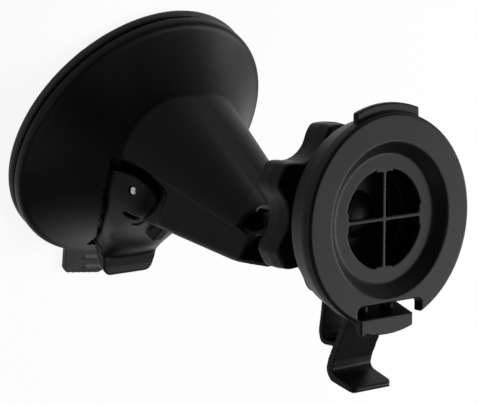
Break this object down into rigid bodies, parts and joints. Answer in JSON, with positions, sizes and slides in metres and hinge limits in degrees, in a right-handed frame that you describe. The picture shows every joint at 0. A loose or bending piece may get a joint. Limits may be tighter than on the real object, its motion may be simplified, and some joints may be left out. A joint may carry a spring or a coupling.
{
  "type": "windscreen suction mount for a navigator",
  "caption": "Black windscreen holder for a navigator: lever-locked suction cup, hooded arm, ball joint with lobed clamp nut, round dock with hook and release latch.",
  "frame": {"origin": "on the suction cup's axis, in the plane of the glass", "axes": "+Z away from the glass along the cup's axis, +Y the side the arm leans to, +X the dock's right"},
  "size_m": [0.08, 0.1187, 0.1172],
  "materials": {
    "satin_black_abs": "satin",
    "black_rubber": "matte",
    "zinc_plated_steel": "satin",
    "black_acetal": "satin",
    "spring_steel": "satin"
  },
  "bodies": {
    "cup": {"bell_shell": "satin_black_abs", "arm_core": "satin_black_abs", "suction_pad": "black_rubber", "core_screws": "zinc_plated_steel", "ball_stud": "zinc_plated_steel", "lever_pin": "zinc_plated_steel"},
    "post": {"draw_post": "black_acetal", "pad_core": "black_rubber", "pad_insert": "zinc_plated_steel", "post_screw": "zinc_plated_steel", "return_spring": "spring_steel"},
    "lever": {"cam_lever": "satin_black_abs"},
    "tilt_seat": {"ball_seat_rear": "black_acetal"},
    "swing_seat": {"ball_seat_front": "black_acetal"},
    "head": {"socket_body": "satin_black_abs", "dock_plate": "satin_black_abs", "plate_screws": "zinc_plated_steel", "latch_spring": "satin_black_abs", "latch_screws": "zinc_plated_steel"},
    "nut": {"clamp_nut": "satin_black_abs"},
    "latch": {"release_latch": "satin_black_abs"}
  },
  "joints": [
    {"name": "lever_pivot", "type": "hinge", "parent": "cup", "child": "lever", "pos_m": [0, 0.002, 0.0295], "axis": [-1, 0, 0], "range_deg": [0, 55]},
    {"name": "post_lift", "type": "slide", "parent": "cup", "child": "post", "axis": [0, 0, -1], "range_m": [0, 0.00187], "deforming": ["return_spring"]},
    {"name": "ball_tilt", "type": "hinge", "parent": "cup", "child": "tilt_seat", "pos_m": [0, 0.0325, 0.08105], "axis": [1, 0, 0], "range_deg": [-45, 16]},
    {"name": "ball_swing", "type": "hinge", "parent": "tilt_seat", "child": "swing_seat", "pos_m": [0, 0.0325, 0.08105], "axis": [0, 0.866, -0.5], "range_deg": [-18, 18]},
    {"name": "ball_roll", "type": "hinge", "parent": "swing_seat", "child": "head", "pos_m": [0, 0.0325, 0.08105], "axis": [0, 0.5, 0.866], "range_deg": [-90, 90]},
    {"name": "nut_turn", "type": "hinge", "parent": "head", "child": "nut", "pos_m": [0, 0.0325, 0.08105], "axis": [0, -0.5, -0.866], "range_deg": [0, 60]},
    {"name": "latch_flex", "type": "hinge", "parent": "head", "child": "latch", "pos_m": [0, 0.00684, 0.1036], "axis": [1, 0, 0], "range_deg": [0, 6], "stiffness_Nm_per_rad": 0.4}
  ],
  "couplings": [
    {"joint": "lever_pivot", "follows": "post_lift", "rad_per_m": 512.87}
  ]
}
